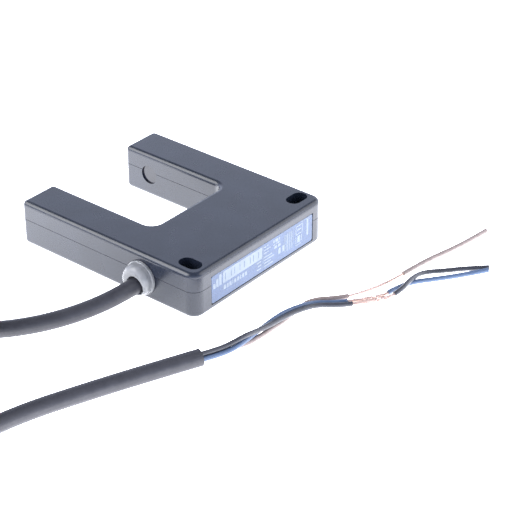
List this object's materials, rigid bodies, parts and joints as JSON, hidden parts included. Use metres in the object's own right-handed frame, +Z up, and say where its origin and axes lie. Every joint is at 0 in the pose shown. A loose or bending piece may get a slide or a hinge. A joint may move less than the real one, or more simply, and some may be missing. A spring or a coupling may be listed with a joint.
{
  "type": "fork photoelectric sensor",
  "caption": "Black fork-shaped through-beam photoelectric sensor with a 30 mm passage, slotted screw holes, a clear cable gland and a fixed cable with stripped leads.",
  "frame": {"origin": "middle of the housing's footprint, on the surface that it lies on", "axes": "+X across the fork from the emitter arm to the receiver arm, +Y towards the tips of the arms, +Z up through the thickness"},
  "size_m": [0.204, 0.1291, 0.0205],
  "materials": {
    "housing_plastic": "satin moulded, near black",
    "label_film": "printed blue film",
    "filter_plastic": "dark infrared-pass plastic",
    "lens_plastic": "clear moulded lens",
    "holder_plastic": "matt",
    "diode_resin": "tinted epoxy",
    "board_laminate": "green solder mask",
    "chip_resin": "moulded epoxy",
    "ceramic_body": "ceramic",
    "clear_plastic": "clear polished plastic",
    "seal_rubber": "matt rubber",
    "clamp_metal": "plated steel",
    "solder": "bright solder",
    "cable_jacket": "satin black cable jacket",
    "tie_plastic": "satin strap",
    "core_brown": "brown insulation",
    "core_blue": "blue insulation",
    "core_black": "black insulation",
    "copper_strands": "bare copper strands"
  },
  "bodies": {
    "root": {"lower_shell": "housing_plastic", "upper_shell": "housing_plastic", "type_label": "label_film", "emitter_window": "filter_plastic", "receiver_window": "filter_plastic", "emitter_lens": "lens_plastic", "receiver_lens": "lens_plastic", "emitter_holder": "holder_plastic", "receiver_holder": "holder_plastic", "infrared_diode": "diode_resin", "phototransistor": "diode_resin", "circuit_board": "board_laminate", "amplifier_chip": "chip_resin", "output_transistor": "chip_resin", "voltage_regulator": "chip_resin", "chip_resistors": "chip_resin", "chip_capacitors": "ceramic_body", "suppressor_diodes": "chip_resin", "tank_capacitor": "ceramic_body", "indicator_led": "diode_resin", "cable_gland": "clear_plastic", "cable_seal": "seal_rubber", "cable_clamp": "clamp_metal", "brown_lead": "core_brown", "blue_lead": "core_blue", "black_lead": "core_black", "solder_joints": "solder", "cable_near": "cable_jacket", "cable_coil": "cable_jacket", "coil_tie": "tie_plastic", "cable_far": "cable_jacket", "brown_core": "core_brown", "brown_conductor": "copper_strands", "brown_end_sleeve": "core_brown", "blue_core": "core_blue", "blue_conductor": "copper_strands", "blue_end_sleeve": "core_blue", "black_core": "core_black", "black_conductor": "copper_strands", "black_end_sleeve": "core_black"}
  },
  "joints": []
}
